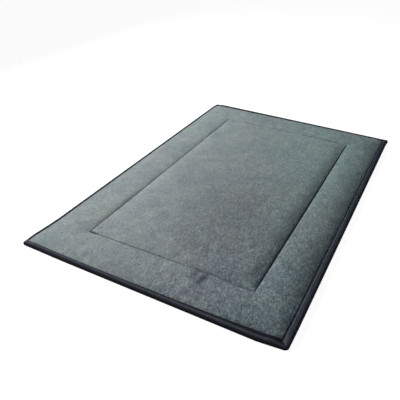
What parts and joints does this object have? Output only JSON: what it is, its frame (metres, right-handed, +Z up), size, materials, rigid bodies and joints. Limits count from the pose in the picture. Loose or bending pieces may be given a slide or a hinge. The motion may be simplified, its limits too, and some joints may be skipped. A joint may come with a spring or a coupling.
{
  "type": "disinfection mat",
  "caption": "Flat quilted foam floor mat with a felt walking surface, one rectangular quilting seam, a watertight base sheet and a folded tape binding, for disinfecting footwear.",
  "frame": {"origin": "middle of the underside, on the floor", "axes": "+Z up, through the mat's thickness; +Y along the mat's length; +X across its width"},
  "size_m": [0.6, 0.9, 0.0217],
  "materials": {
    "grey_felt": "heathered needle felt, matt",
    "open_cell_foam": "open-cell foam, matt",
    "coated_fabric": "coated woven fabric, matt",
    "navy_tape": "woven fabric tape, matt"
  },
  "bodies": {
    "root": {"top_cover": "grey_felt", "foam_core": "open_cell_foam", "base_sheet": "coated_fabric", "edge_binding": "navy_tape"}
  },
  "joints": []
}
